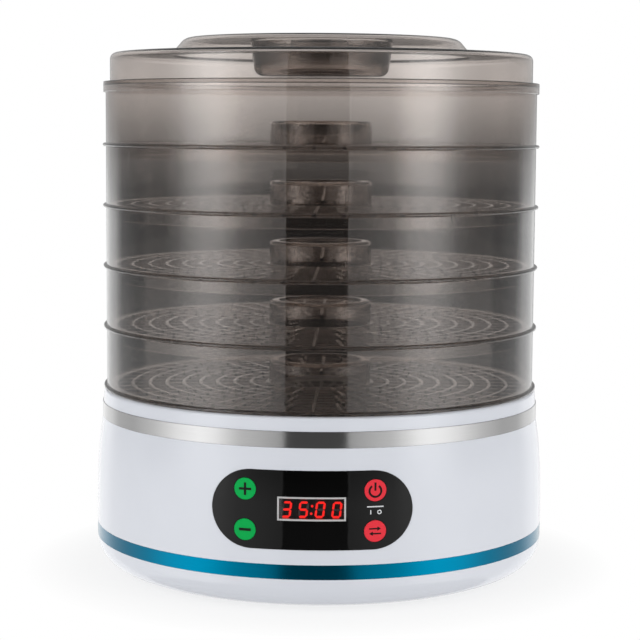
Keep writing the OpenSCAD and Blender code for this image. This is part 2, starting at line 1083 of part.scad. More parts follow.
base_shell();
bottom_plate();
rubber_feet();
base_screws();
blue_band();
steel_band();
top_deck();
outlet_grille();
control_panel();
display_frame();
display_lens();
display_module();
display_holder();
control_board();
tact_switches();
board_screws();
button_plus();
button_minus();
button_power();
button_mode();
air_duct();
duct_screws();
heater_frame();
heater_coils();
thermostat();
thermal_fuse();
temperature_sensor();
motor_bracket();
bracket_screws();
motor_housing();
motor_shaft();
fan_rotor();
power_board();
power_board_screws();
transformer();
relay();
smoothing_capacitor();
ribbon_cable();
wiring();
cord_gland();
tray_1_wall();
tray_1_floor();
tray_1_chimney();
tray_2_wall();
tray_2_floor();
tray_2_chimney();
tray_3_wall();
tray_3_floor();
tray_3_chimney();
tray_4_wall();
tray_4_floor();
tray_4_chimney();
tray_5_wall();
tray_5_floor();
tray_5_chimney();
lid_rim();
lid_ring();
lid_dome();
lid_grip();
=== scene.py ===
"""Looks, lights and camera for the round food dehydrator. Lengths are in metres."""

import json
import math

import bmesh
import bpy
from mathutils import Matrix, Vector
from mathutils.bvhtree import BVHTree


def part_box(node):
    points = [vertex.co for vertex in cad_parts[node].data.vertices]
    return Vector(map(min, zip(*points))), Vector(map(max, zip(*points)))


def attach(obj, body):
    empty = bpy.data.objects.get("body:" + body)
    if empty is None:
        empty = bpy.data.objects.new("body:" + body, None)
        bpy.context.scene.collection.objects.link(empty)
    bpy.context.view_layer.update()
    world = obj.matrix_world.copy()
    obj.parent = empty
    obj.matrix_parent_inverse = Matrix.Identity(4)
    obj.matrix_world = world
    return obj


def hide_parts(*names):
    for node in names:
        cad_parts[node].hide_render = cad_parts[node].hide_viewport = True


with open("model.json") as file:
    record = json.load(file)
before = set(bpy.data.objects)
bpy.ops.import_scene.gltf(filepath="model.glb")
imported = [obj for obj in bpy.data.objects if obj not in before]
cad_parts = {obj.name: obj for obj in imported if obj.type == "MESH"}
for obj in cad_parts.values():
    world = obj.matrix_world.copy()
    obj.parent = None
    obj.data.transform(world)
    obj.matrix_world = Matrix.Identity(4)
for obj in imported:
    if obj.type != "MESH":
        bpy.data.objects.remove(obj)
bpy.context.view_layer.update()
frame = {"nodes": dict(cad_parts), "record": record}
MM = 0.001
TRAYS = ["tray_1", "tray_2", "tray_3", "tray_4", "tray_5"]
SLOTS = {s["node"]: s["material_slot"] for s in frame["record"]["subparts"]}
BODY_OF = {n: b for b, nodes in frame["record"]["behaviour"]["bodies"].items() for n in nodes}


# ---- Camera, which stands a little to the right of the panel's middle ----

def add_camera():
    distance = 1.196
    height = 0.283
    side_turn = math.radians(1.7)
    pitch = math.radians(6.05)
    roll = math.radians(0.35)
    data = bpy.data.cameras.new("camera")
    data.sensor_width = 36.0
    data.lens = 105.3
    data.clip_start = 0.05
    camera = bpy.data.objects.new("camera", data)
    bpy.context.scene.collection.objects.link(camera)
    place = Vector((distance * math.sin(side_turn), -distance * math.cos(side_turn), height))
    turn = Matrix.Rotation(side_turn, 4, "Z")
    tilt = Matrix.Rotation(math.pi / 2 - pitch, 4, "X")
    camera.matrix_world = Matrix.Translation(place) @ turn @ tilt @ Matrix.Rotation(roll, 4, "Z")
    bpy.context.scene.camera = camera


add_camera()


# ---- Material nodes ----

class Paint:
    """A node material under construction, with short calls for the nodes used here."""

    def __init__(self, name):
        self.material = bpy.data.materials.new(name)
        self.material.use_nodes = True
        self.tree = self.material.node_tree
        self.tree.nodes.clear()
        self.output = self.node("ShaderNodeOutputMaterial")
        self.shader = self.node("ShaderNodeBsdfPrincipled")
        self.link(self.shader.outputs["BSDF"], self.output.inputs["Surface"])
        self.place = self.node("ShaderNodeTexCoord").outputs["Object"]

    def node(self, kind, **settings):
        made = self.tree.nodes.new(kind)
        for key, value in settings.items():
            setattr(made, key, value)
        return made

    def link(self, source, target):
        self.tree.links.new(source, target)

    def set(self, **values):
        """Plain values for sockets of the shader; an underscore in a name stands for a space."""
        for key, value in values.items():
            self.shader.inputs[key.replace("_", " ")].default_value = value

    def feed(self, socket, source):
        self.link(source, self.shader.inputs[socket])

    def maths(self, operation, *values):
        made = self.node("ShaderNodeMath", operation=operation)
        for i, value in enumerate(values):
            if isinstance(value, (int, float)):
                made.inputs[i].default_value = value
            else:
                self.link(value, made.inputs[i])
        return made.outputs[0]

    def scaled(self, vector, factors):
        made = self.node("ShaderNodeVectorMath", operation="MULTIPLY")
        self.link(vector, made.inputs[0])
        made.inputs[1].default_value = factors
        return made.outputs[0]

    def round_the_axis(self):
        """Coordinates that run round the object: the turn in radians, the radius and the height."""
        parts = self.node("ShaderNodeSeparateXYZ")
        self.link(self.place, parts.inputs[0])
        x, y, z = parts.outputs
        turn = self.maths("ARCTAN2", y, x)
        radius = self.maths("SQRT", self.maths("ADD", self.maths("MULTIPLY", x, x),
                                               self.maths("MULTIPLY", y, y)))
        joined = self.node("ShaderNodeCombineXYZ")
        for i, value in enumerate((turn, radius, z)):
            self.link(value, joined.inputs[i])
        return joined.outputs[0]

    def noise(self, scale, detail=3.0, roughness=0.5, vector=None):
        made = self.node("ShaderNodeTexNoise")
        made.inputs["Scale"].default_value = scale
        made.inputs["Detail"].default_value = detail
        made.inputs["Roughness"].default_value = roughness
        self.link(self.place if vector is None else vector, made.inputs["Vector"])
        return made.outputs["Fac"]

    def ramp(self, value, low, high, start=0.0, end=1.0):
        made = self.node("ShaderNodeMapRange")
        for name, number in (("From Min", start), ("From Max", end), ("To Min", low), ("To Max", high)):
            made.inputs[name].default_value = number
        self.link(value, made.inputs["Value"])
        return made.outputs["Result"]

    def blend(self, value, first, second):
        made = self.node("ShaderNodeMix", data_type="RGBA")
        self.link(value, made.inputs[0])
        sockets = [s for s in made.inputs if s.type == "RGBA"]
        sockets[0].default_value = (*first, 1.0)
        sockets[1].default_value = (*second, 1.0)
        return [s for s in made.outputs if s.type == "RGBA"][0]

    def bumps(self, height, distance):
        made = self.node("ShaderNodeBump")
        made.inputs["Distance"].default_value = distance
        made.inputs["Strength"].default_value = 1.0
        self.link(height, made.inputs["Height"])
        self.link(made.outputs["Normal"], self.shader.inputs["Normal"])


# ---- Materials ----

def plastic(name, low, high, roughness, grain=900.0, depth=0.00001, gloss=0.5):
    """A moulded plastic: two close tones, uneven gloss and a fine skin."""
    paint = Paint(name)
    cloud = paint.noise(35.0, 2.0)
    paint.feed("Base Color", paint.blend(cloud, low, high))
    paint.feed("Roughness", paint.ramp(paint.noise(160.0, 3.0), roughness[0], roughness[1], 0.3, 0.7))
    paint.bumps(paint.noise(grain, 2.0), depth)
    paint.set(Specular_IOR_Level=gloss)
    return paint.material


def smoke_plastic(name, density, roughness=(0.02, 0.05), gloss=0.5):
    """Clear smoke-grey plastic. The tint lies in its depth, so edges and flanges look darker than walls."""
    paint = Paint(name)
    paint.set(Base_Color=(0.95, 0.93, 0.92, 1.0), Transmission_Weight=1.0, IOR=1.49)
    paint.set(Specular_IOR_Level=gloss)
    paint.feed("Roughness", paint.ramp(paint.noise(55.0, 2.0), roughness[0], roughness[1], 0.3, 0.7))
    paint.bumps(paint.noise(28.0, 2.0), 0.00004)
    depth = paint.node("ShaderNodeVolumeAbsorption")
    depth.inputs["Color"].default_value = (0.46, 0.38, 0.32, 1.0)
    depth.inputs["Density"].default_value = density
    paint.link(depth.outputs[0], paint.output.inputs["Volume"])
    return paint.material


def brushed_ring(name, low, high, roughness):
    """Metal brushed round the object's upright axis: fine lines that change with height."""
    paint = Paint(name)
    lines = paint.noise(1.0, 4.0, 0.7, paint.scaled(paint.round_the_axis(), (3.0, 1.0, 9000.0)))
    cloud = paint.noise(14.0, 2.0, 0.5, paint.scaled(paint.round_the_axis(), (1.0, 1.0, 40.0)))
    paint.feed("Base Color", paint.blend(paint.ramp(lines, 0.0, 1.0, 0.3, 0.7), low, high))
    both = paint.maths("ADD", paint.ramp(lines, -0.03, 0.03, 0.3, 0.7),
                       paint.ramp(cloud, roughness[0], roughness[1], 0.3, 0.7))
    paint.feed("Roughness", both)
    paint.bumps(lines, 0.000004)
    paint.set(Metallic=1.0)
    return paint.material


def sheet_metal(name, low, high, roughness):
    """Rolled or plated metal: faint streaks one way and soft clouds."""
    paint = Paint(name)
    streaks = paint.noise(60.0, 3.0, 0.6, paint.scaled(paint.place, (1.0, 14.0, 14.0)))
    paint.feed("Base Color", paint.blend(streaks, low, high))
    paint.feed("Roughness", paint.ramp(paint.noise(45.0, 4.0), roughness[0], roughness[1], 0.3, 0.7))
    paint.bumps(streaks, 0.00001)
    paint.set(Metallic=1.0)
    return paint.material


def circuit_board(name, mask, track, pitch):
    """A printed board: solder mask with paler tracks and pads under it."""
    paint = Paint(name)
    cells = paint.node("ShaderNodeTexVoronoi", distance="MANHATTAN", feature="F1")
    cells.inputs["Scale"].default_value = pitch
    paint.link(paint.place, cells.inputs["Vector"])
    edge = paint.ramp(cells.outputs["Distance"], 0.0, 1.0, 0.30, 0.34)
    paint.feed("Base Color", paint.blend(edge, mask, track))
    paint.feed("Roughness", paint.ramp(edge, 0.25, 0.38))
    paint.bumps(edge, 0.00004)
    return paint.material


def glowing(name, colour, strength):
    """A lit segment, a little brighter in patches as a moulded light pipe is."""
    paint = Paint(name)
    paint.feed("Base Color", paint.blend(paint.noise(700.0, 1.0), colour, tuple(0.8 * c for c in colour)))
    paint.set(Emission_Color=(*colour, 1.0), Emission_Strength=strength, Roughness=0.4)
    return paint.material


def coiled_wire(name):
    """Heater wire: bare metal, browned in patches by its own heat."""
    paint = Paint(name)
    heat = paint.noise(90.0, 2.0)
    paint.feed("Base Color", paint.blend(heat, (0.30, 0.26, 0.22), (0.48, 0.42, 0.36)))
    paint.feed("Roughness", paint.ramp(heat, 0.3, 0.5))
    paint.bumps(paint.noise(2500.0, 2.0), 0.00001)
    paint.set(Metallic=1.0)
    return paint.material


def dark_lens(name):
    """Tinted clear plastic, with a skin that isn't quite flat."""
    paint = Paint(name)
    paint.set(Base_Color=(0.62, 0.56, 0.56, 1.0), Transmission_Weight=1.0, IOR=1.46)
    paint.feed("Roughness", paint.ramp(paint.noise(90.0, 2.0), 0.01, 0.03, 0.3, 0.7))
    paint.bumps(paint.noise(60.0, 2.0), 0.000005)
    return paint.material


MATERIALS = {
    "white_shell": plastic("white_shell", (0.60, 0.62, 0.67), (0.63, 0.65, 0.70), (0.08, 0.14), gloss=0.35),
    "white_inner": plastic("white_inner", (0.58, 0.59, 0.61), (0.64, 0.65, 0.67), (0.35, 0.5),
                           depth=0.00003),
    "smoke": smoke_plastic("smoke", 235.0),
    "smoke_lid": smoke_plastic("smoke_lid", 190.0),
    "smoke_floor": smoke_plastic("smoke_floor", 420.0, (0.16, 0.24), 0.25),
    "blue_metal": brushed_ring("blue_metal", (0.0, 0.10, 0.18), (0.0, 0.13, 0.22), (0.15, 0.20)),
    "steel": brushed_ring("steel", (0.31, 0.31, 0.31), (0.35, 0.35, 0.35), (0.09, 0.13)),
    "screw_steel": sheet_metal("screw_steel", (0.48, 0.48, 0.50), (0.60, 0.60, 0.62), (0.22, 0.38)),
    "panel_black": plastic("panel_black", (0.001, 0.001, 0.001), (0.002, 0.002, 0.002), (0.03, 0.07),
                           depth=0.000004, gloss=0.2),
    "frame_white": plastic("frame_white", (0.42, 0.42, 0.42), (0.48, 0.48, 0.48), (0.25, 0.35)),
    "lens": dark_lens("lens"),
    "module_black": plastic("module_black", (0.004, 0.004, 0.005), (0.008, 0.008, 0.010), (0.3, 0.5)),
    "holder": plastic("holder", (0.55, 0.55, 0.55), (0.62, 0.62, 0.62), (0.4, 0.55)),
    "green_button": plastic("green_button", (0.0, 0.33, 0.06), (0.0, 0.36, 0.07), (0.4, 0.5), gloss=0.1),
    "red_button": plastic("red_button", (0.68, 0.030, 0.045), (0.74, 0.038, 0.055), (0.4, 0.5), gloss=0.1),
    "rubber": plastic("rubber", (0.016, 0.016, 0.018), (0.03, 0.03, 0.033), (0.6, 0.8), 2500.0, 0.00004),
    "green_board": circuit_board("green_board", (0.008, 0.10, 0.035), (0.03, 0.20, 0.07), 260.0),
    "tan_board": circuit_board("tan_board", (0.30, 0.19, 0.07), (0.40, 0.27, 0.12), 220.0),
    "switch": plastic("switch", (0.02, 0.02, 0.022), (0.035, 0.035, 0.04), (0.4, 0.6)),
    "duct_metal": sheet_metal("duct_metal", (0.55, 0.56, 0.57), (0.68, 0.69, 0.70), (0.25, 0.42)),
    "mica": plastic("mica", (0.36, 0.28, 0.17), (0.58, 0.50, 0.36), (0.2, 0.5), 300.0, 0.00006),
    "coil": coiled_wire("coil"),
    "thermostat": plastic("thermostat", (0.02, 0.016, 0.014), (0.035, 0.03, 0.026), (0.3, 0.5)),
    "fuse": plastic("fuse", (0.55, 0.50, 0.42), (0.66, 0.61, 0.52), (0.3, 0.5)),
    "motor": plastic("motor", (0.035, 0.037, 0.042), (0.06, 0.062, 0.07), (0.3, 0.45), 1500.0, 0.00003),
    "fan": plastic("fan", (0.60, 0.58, 0.52), (0.68, 0.66, 0.60), (0.4, 0.55)),
    "transformer": plastic("transformer", (0.42, 0.33, 0.03), (0.52, 0.42, 0.05), (0.35, 0.5),
                           2500.0, 0.00005),
    "relay": plastic("relay", (0.01, 0.05, 0.28), (0.015, 0.07, 0.34), (0.25, 0.4)),
    "capacitor": plastic("capacitor", (0.008, 0.008, 0.025), (0.02, 0.02, 0.045), (0.2, 0.35)),
    "ribbon": plastic("ribbon", (0.36, 0.36, 0.38), (0.44, 0.44, 0.46), (0.4, 0.6), 3000.0, 0.00008),
    "wire": plastic("wire", (0.46, 0.45, 0.41), (0.55, 0.54, 0.50), (0.4, 0.6)),
}


# ---- Finished copies of CAD nodes: the same solid with softened edges ----

GLASS_GAP = 0.03 * MM  # kept clear above and below stacked clear pieces
SAME_CORNER = 0.03 * MM  # corners of an outline nearer than this are one
LEVEL = 0.02 * MM  # points nearer than this along an axis are in line
STEP = 0.1 * MM  # how far apart two nodes' faces can be at a cut between them
WELD = 0.002 * MM
SLIVER = 0.001 * MM
FLAT = math.radians(0.08)


def bare_mesh(node):
    """A clean bmesh of a node: seams welded and flat faces made whole."""
    made = bmesh.new()
    made.from_mesh(frame["nodes"][node].data)
    bmesh.ops.remove_doubles(made, verts=made.verts, dist=WELD)
    bmesh.ops.dissolve_degenerate(made, dist=SLIVER, edges=made.edges)
    bmesh.ops.dissolve_limit(made, angle_limit=FLAT, verts=made.verts, edges=made.edges)
    return made


def new_piece(name, made, material, body, smooth_below=36.0):
    """Turns a bmesh into a piece that rides on a body. Edges sharper than the given angle stay crisp."""
    bmesh.ops.recalc_face_normals(made, faces=made.faces)
    limit = math.radians(smooth_below)
    for face in made.faces:
        face.smooth = True
    for edge in made.edges:
        edge.smooth = len(edge.link_faces) == 2 and edge.calc_face_angle(0.0) < limit
    mesh = bpy.data.meshes.new(name)
    made.to_mesh(mesh)
    made.free()
    if "custom_normal" in mesh.attributes:
        mesh.attributes.remove(mesh.attributes["custom_normal"])
    mesh.materials.clear()
    mesh.materials.append(material)
    piece = bpy.data.objects.new(name, mesh)
    bpy.context.scene.collection.objects.link(piece)
    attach(piece, body)
    return piece


def soften(piece, width, segments=2, angle=40.0):
    """Rounds the piece's crisp edges, as a mould or a press does."""
    made = piece.modifiers.new("soft edges", "BEVEL")
    made.width = width
    made.segments = segments
    made.limit_method = "ANGLE"
    made.angle_limit = math.radians(angle)
    made.harden_normals = True
    made.use_clamp_overlap = True
    return piece


def squeezed(made, gap):
    """Takes a gap off the height, at top and bottom, so that stacked clear pieces don't share a face."""
    low = min(v.co.z for v in made.verts)
    high = max(v.co.z for v in made.verts)
    for v in made.verts:
        v.co.z = low + gap + (v.co.z - low) * (1 - 2 * gap / (high - low))


def polished(node, width=0.0003, segments=2, gap=0.0, material=None):
    """A softened copy that stands for a CAD node, in its slot's material unless another is given."""
    made = bare_mesh(node)
    if gap:
        squeezed(made, gap)
    slot = SLOTS[node]
    piece = new_piece(f"{node}_finished", made, material or MATERIALS[slot], BODY_OF[node])
    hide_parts(node)
    return soften(piece, width, segments)


def turned_outline(nodes):
    """The outline of turned nodes, as (radius, height) points in order, without the cuts between them."""
    links = {}
    corners = {}

    def corner(p):
        """The outline's corner at a vertex. Corners closer than SAME_CORNER count as one."""
        here = (round(math.hypot(p.x, p.y), 6), round(p.z, 6))
        if here not in corners:
            corners[here] = next((c for c in corners.values() if math.dist(c, here) < SAME_CORNER), here)
        return corners[here]

    for node in nodes:
        mesh = frame["nodes"][node].data
        for edge in mesh.edges:
            a, b = (mesh.vertices[i].co for i in edge.vertices)
            ends = [corner(a), corner(b)]
            same_turn = abs(a.x * b.y - a.y * b.x) < 0.0001 * ends[0][0] * ends[1][0]
            if ends[0] != ends[1] and same_turn:
                for here, there in (ends, ends[::-1]):
                    links.setdefault(here, set()).add(there)
    if len(nodes) > 1:
        for here in list(links):
            for there in list(links[here]):
                upright = abs(here[0] - there[0]) < LEVEL
                if upright and any(0 < abs(p[0] - here[0]) < STEP and abs(p[1] - here[1]) < LEVEL
                                   for p in links):
                    links[here].discard(there)
                    links[there].discard(here)
    links = {p: near for p, near in links.items() if near}
    by_height = {}
    for p in sorted(p for p, near in links.items() if len(near) == 1):
        by_height.setdefault(round(p[1], 5), []).append(p)
    for height, ends in by_height.items():
        if len(ends) % 2:
            ends.insert(0, (0.0, height))
            links[(0.0, height)] = set()
        for here, there in zip(ends[::2], ends[1::2]):
            links[here].add(there)
            links[there].add(here)
    starts = [p for p in sorted(links) if len(links[p]) == 1] or sorted(links)
    outline = [starts[0]]
    while True:
        onward = [p for p in links[outline[-1]] if p not in outline]
        if not onward:
            return outline
        outline.append(onward[0])


def turned(name, nodes, segments=240, width=0.0004, gap=GLASS_GAP, material=None):
    """A finely turned copy of round nodes, as one piece that stands for them."""
    outline = turned_outline(nodes)
    made = bmesh.new()
    columns = []
    for r, z in outline:
        if r == 0.0:
            columns.append([made.verts.new((0.0, 0.0, z))] * segments)
        else:
            columns.append([made.verts.new((r * math.cos(t), r * math.sin(t), z))
                            for t in (2 * math.pi * i / segments for i in range(segments))])
    closed = outline[0][0] > 0.0
    pairs = list(zip(columns, columns[1:])) + ([(columns[-1], columns[0])] if closed else [])
    for first, second in pairs:
        for i in range(segments):
            j = (i + 1) % segments
            corners = dict.fromkeys((first[i], first[j], second[j], second[i]))
            made.faces.new(list(corners))
    if gap:
        squeezed(made, gap)
    slot = SLOTS[nodes[0]]
    piece = new_piece(name, made, material or MATERIALS[slot], BODY_OF[nodes[0]])
    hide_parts(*nodes)
    return soften(piece, width, 3)


# ---- CAD nodes that stay get their slot's material ----

for node, part in frame["nodes"].items():
    part.data.materials.clear()
    part.data.materials.append(MATERIALS[SLOTS[node]])


# ---- Clear trays and lid ----

for tray in TRAYS:
    turned(f"{tray}_wall_clear", [f"{tray}_wall"])
    polished(f"{tray}_floor", 0.0003, 2, GLASS_GAP, MATERIALS["smoke_floor"])
    turned(f"{tray}_chimney_clear", [f"{tray}_chimney"])
turned("lid_clear", ["lid_rim", "lid_ring", "lid_dome"], material=MATERIALS["smoke_lid"])
polished("lid_grip", 0.0002, 2, material=MATERIALS["smoke_lid"])
turned("blue_band_polished", ["blue_band"], 360, 0.0001, 0.0)
turned("steel_band_polished", ["steel_band"], 360, 0.0001, 0.0)

# How far the edges of each opaque node are rounded
FINISHED = {
    "base_shell": 0.4 * MM, "top_deck": 0.4 * MM, "control_panel": 0.25 * MM, "display_frame": 0.15 * MM,
    "display_lens": 0.15 * MM, "button_plus": 0.25 * MM, "button_minus": 0.25 * MM,
    "button_power": 0.25 * MM, "button_mode": 0.25 * MM, "outlet_grille": 0.3 * MM,
    "bottom_plate": 0.3 * MM, "rubber_feet": 0.3 * MM, "cord_gland": 0.4 * MM, "base_screws": 0.3 * MM,
    "fan_rotor": 0.3 * MM, "air_duct": 0.2 * MM, "motor_housing": 0.3 * MM, "display_holder": 0.3 * MM,
    "tact_switches": 0.3 * MM, "thermostat": 0.3 * MM, "thermal_fuse": 0.2 * MM,
    "transformer": 0.4 * MM, "relay": 0.4 * MM, "smoothing_capacitor": 0.4 * MM,
    "board_screws": 0.2 * MM, "duct_screws": 0.2 * MM, "bracket_screws": 0.2 * MM,
    "power_board_screws": 0.2 * MM, "motor_bracket": 0.2 * MM,
}
for node, width in FINISHED.items():
    polished(node, width)


# ---- Marks on the panel, laid on the curved surfaces ----

SURFACES = {}


def surface_y(node, x, z):
    """Depth at which a line along +Y from the front meets a CAD node."""
    if node not in SURFACES:
        made = bare_mesh(node)
        SURFACES[node] = BVHTree.FromBMesh(made)
        made.free()
    place = SURFACES[node].ray_cast(Vector((x, -1.0, z)), Vector((0.0, 1.0, 0.0)))[0]
    if place is None:
        raise ValueError(f"nothing of {node} at {x}, {z}")
    return place.y


def inlay(name, faces, node, material, rise=0.08 * MM, sink=0.2 * MM):
    """A thin layer on a node's front. faces are outlines in X and Z, in metres."""
    made = bmesh.new()
    for outline in faces:
        made.faces.new([made.verts.new((x, 0.0, z)) for x, z in outline])
    bmesh.ops.remove_doubles(made, verts=made.verts, dist=0.000001)
    grown = bmesh.ops.extrude_face_region(made, geom=made.faces[:])
    front = {v for v in grown["geom"] if isinstance(v, bmesh.types.BMVert)}
    for v in made.verts:
        y = surface_y(node, v.co.x, v.co.z)
        v.co.y = y - rise if v in front else y + sink
    return new_piece(name, made, material, BODY_OF[node])


def bar(x, z, width, height, steps=6):
    """An upright rectangle cut across into short faces, so that it can follow a curve."""
    xs = [x - width / 2 + width * i / steps for i in range(steps + 1)]
    low, high = z - height / 2, z + height / 2
    return [[(a, low), (b, low), (b, high), (a, high)] for a, b in zip(xs, xs[1:])]


def band(x, z, outer, inner, start, end, steps=28):
    """Part of a ring between two turns in degrees, counted from +X towards +Z."""
    turns = [math.radians(start + (end - start) * i / steps) for i in range(steps + 1)]

    def point(r, t):
        return (x + r * math.cos(t), z + r * math.sin(t))
    return [[point(inner, a), point(outer, a), point(outer, b), point(inner, b)]
            for a, b in zip(turns, turns[1:])]


def middle(node):
    """The middle of a CAD node's box."""
    low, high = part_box(node)
    return (low + high) / 2


ink = plastic("dark_print", (0.004, 0.004, 0.004), (0.007, 0.007, 0.007), (0.4, 0.5), 3000.0, gloss=0.1)
white_ink = plastic("white_print", (0.55, 0.56, 0.58), (0.66, 0.67, 0.69), (0.35, 0.5), 3000.0)

plus = middle("button_plus")
inlay("mark_plus", bar(plus.x, plus.z, 7.2 * MM, 1.35 * MM), "button_plus", ink)
inlay("mark_plus_upright", bar(plus.x, plus.z, 1.35 * MM, 7.2 * MM), "button_plus", ink,
      0.09 * MM)
minus = middle("button_minus")
inlay("mark_minus", bar(minus.x, minus.z, 7.0 * MM, 1.6 * MM), "button_minus", ink)
power = middle("button_power")
inlay("mark_power_ring", band(power.x, power.z - 0.3 * MM, 3.95 * MM, 2.8 * MM, 125, 415),
      "button_power", ink)
inlay("mark_power_bar", bar(power.x, power.z + 2.2 * MM, 1.1 * MM, 4.7 * MM, 1),
      "button_power", ink)
mode = middle("button_mode")
for way in (-1, 1):
    x, z = mode.x, mode.z + 1.45 * MM * way
    tip, base, tail = x + 3.4 * MM * way, x + 1.3 * MM * way, x - 3.4 * MM * way
    arrow = [[(tail, z - 0.4 * MM), (tail, z + 0.4 * MM), (base, z + 0.4 * MM), (base, z - 0.4 * MM)],
             [(base, z - 1.25 * MM), (base, z + 1.25 * MM), (tip, z)]]
    inlay(f"mark_swap_{'right' if way > 0 else 'left'}", arrow, "button_mode", ink)

LINE_Z = 63.4 * MM
SIGN_Z = 60.2 * MM
label = {"label_line": bar(power.x, LINE_Z, 9.4 * MM, 0.7 * MM),
         "label_on_stroke": bar(power.x - 2.6 * MM, SIGN_Z, 0.6 * MM, 2.4 * MM, 1),
         "label_off_ring": band(power.x + 2.4 * MM, SIGN_Z, 1.3 * MM, 0.75 * MM, 0, 360)}
for name, shape in label.items():
    inlay(name, shape, "control_panel", white_ink, 0.03 * MM)


# ---- Seven-segment digits in the display module's windows ----

DIGIT_PITCH = 9.6 * MM
DIGIT_W = 5.6 * MM
DIGIT_H = 9.6 * MM
STROKE = 1.25 * MM
GAP = 0.12 * MM
SLANT = math.tan(math.radians(7.0))
LIT = {"0": "abcdef", "3": "abcdg", "5": "acdfg"}
SEGMENTS = {"a": (0, 1, 1, 1), "b": (1, 1, 1, 0), "c": (1, 0, 1, -1), "d": (0, -1, 1, -1),
            "e": (0, 0, 0, -1), "f": (0, 1, 0, 0), "g": (0, 0, 1, 0)}


def segment(letter):
    """A six-sided stroke between two corners of the digit's grid, before the slant."""
    x0, z0, x1, z1 = SEGMENTS[letter]
    half_w = (DIGIT_W - STROKE) / 2
    half_h = (DIGIT_H - STROKE) / 2
    a = Vector(((2 * x0 - 1) * half_w, z0 * half_h))
    b = Vector(((2 * x1 - 1) * half_w, z1 * half_h))
    along = (b - a).normalized()
    across = Vector((-along.y, along.x)) * STROKE / 2
    a, b = a + along * GAP, b - along * GAP
    return [a, a + along * STROKE / 2 + across, b - along * STROKE / 2 + across, b,
            b - along * STROKE / 2 - across, a + along * STROKE / 2 - across]


display = middle("display_module")
module_low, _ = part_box("display_module")
WINDOW_FLOOR = module_low.y + 0.6 * MM
DIGIT_Z = display.z - 0.35 * MM


def segments_piece(name, letters_at, material, front):
    """Strokes that stand on the windows' floor, their faces at the depth front."""
    made = bmesh.new()
    for letters, x in letters_at:
        for letter in letters:
            made.faces.new([made.verts.new((display.x + x + p.x + p.y * SLANT, WINDOW_FLOOR, DIGIT_Z + p.y))
                            for p in segment(letter)])
    grown = bmesh.ops.extrude_face_region(made, geom=made.faces[:])
    for v in grown["geom"]:
        if isinstance(v, bmesh.types.BMVert):
            v.co.y = front
    return new_piece(name, made, material, BODY_OF["display_module"])


lit_red = glowing("lit_segment", (1.0, 0.018, 0.012), 1.5)
unlit = plastic("unlit_segment", (0.16, 0.17, 0.18), (0.20, 0.21, 0.22), (0.3, 0.4))
SHOWN = "3500"
SEGMENT_FACE = module_low.y + 0.1 * MM
places = [(i - 1.5) * DIGIT_PITCH for i in range(len(SHOWN))]
for i, digit in enumerate(SHOWN):
    segments_piece(f"digit_{i + 1}_lit", [(LIT[digit], places[i])], lit_red, SEGMENT_FACE)
dark = [([s for s in SEGMENTS if s not in LIT[digit]], x) for digit, x in zip(SHOWN, places)]
segments_piece("segments_unlit", dark, unlit, SEGMENT_FACE)


def colon():
    made = bmesh.new()
    for z in (-2.2 * MM, 2.2 * MM):
        turn = Matrix.Rotation(math.pi / 2, 4, "X")
        spot = Matrix.Translation((display.x + z * SLANT, module_low.y - 0.15 * MM, DIGIT_Z + z))
        bmesh.ops.create_cone(made, cap_ends=True, segments=24, radius1=0.7 * MM, radius2=0.7 * MM,
                              depth=0.4 * MM, matrix=spot @ turn)
    return new_piece("digit_colon_lit", made, lit_red, BODY_OF["display_module"])


colon()


# ---- Heater coils wound as real ones are ----

def wound_coils():
    """Each ring of the heater as a fine helix that runs round it."""
    low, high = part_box("heater_coils")
    middle_z = (low.z + high.z) / 2
    minor = (high.z - low.z) / 2
    wire_r = 0.35 * MM
    outer = high.x - minor
    made = bmesh.new()
    sides = 6
    for ring_r in (outer, outer - 10 * MM, outer - 20 * MM):
        turns = round(2 * math.pi * ring_r / (1.5 * MM))
        steps = turns * 10
        rows = []
        for i in range(steps):
            a = 2 * math.pi * i / steps
            b = a * turns
            out = Vector((math.cos(a), math.sin(a), 0.0))
            up = Vector((0.0, 0.0, 1.0))
            side = (out * math.cos(b) + up * math.sin(b))
            centre = out * ring_r + up * middle_z + side * (minor - wire_r)
            forward = (-out * math.sin(b) + up * math.cos(b)) * (minor * turns) + \
                Vector((-math.sin(a), math.cos(a), 0.0)) * ring_r
            forward.normalize()
            cross = side.cross(forward).normalized()
            rows.append([made.verts.new(centre + (side * math.cos(t) + cross * math.sin(t)) * wire_r)
                         for t in (2 * math.pi * k / sides for k in range(sides))])
        for i, row in enumerate(rows):
            following = rows[(i + 1) % steps]
            for k in range(sides):
                made.faces.new([row[k], row[(k + 1) % sides], following[(k + 1) % sides], following[k]])
    piece = new_piece("heater_coils_wound", made, MATERIALS["coil"], "base", 70)
    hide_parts("heater_coils")


wound_coils()


# ---- Small parts on the boards ----

def spun(made, start, along, profile, sides=16):
    """A closed turned solid. profile holds (distance, radius) along a line, all in millimetres."""
    start, along = Vector(start) * MM, Vector(along).normalized()
    side = along.orthogonal().normalized()
    other = along.cross(side)
    rows = [[made.verts.new(start + along * d * MM + (side * math.cos(t) + other * math.sin(t)) * r * MM)
             for t in (2 * math.pi * k / sides for k in range(sides))] for d, r in profile]
    for first, second in zip(rows, rows[1:]):
        for k in range(sides):
            made.faces.new([first[k], first[(k + 1) % sides], second[(k + 1) % sides], second[k]])
    made.faces.new(rows[0])
    made.faces.new(rows[-1])


def block(made, low, high):
    """A box between two corners in millimetres."""
    low, high = Vector(low) * MM, Vector(high) * MM
    size = high - low
    bmesh.ops.create_cube(made, size=1.0, matrix=Matrix.Translation((low + high) / 2) @
                          Matrix.Diagonal((size.x, size.y, size.z, 1.0)))


def board_piece(name, slot, build, width=0.00015):
    """A softened piece that rides on the base. build fills its mesh."""
    made = bmesh.new()
    build(made)
    return soften(new_piece(name, made, MATERIALS[slot], "base"), width)


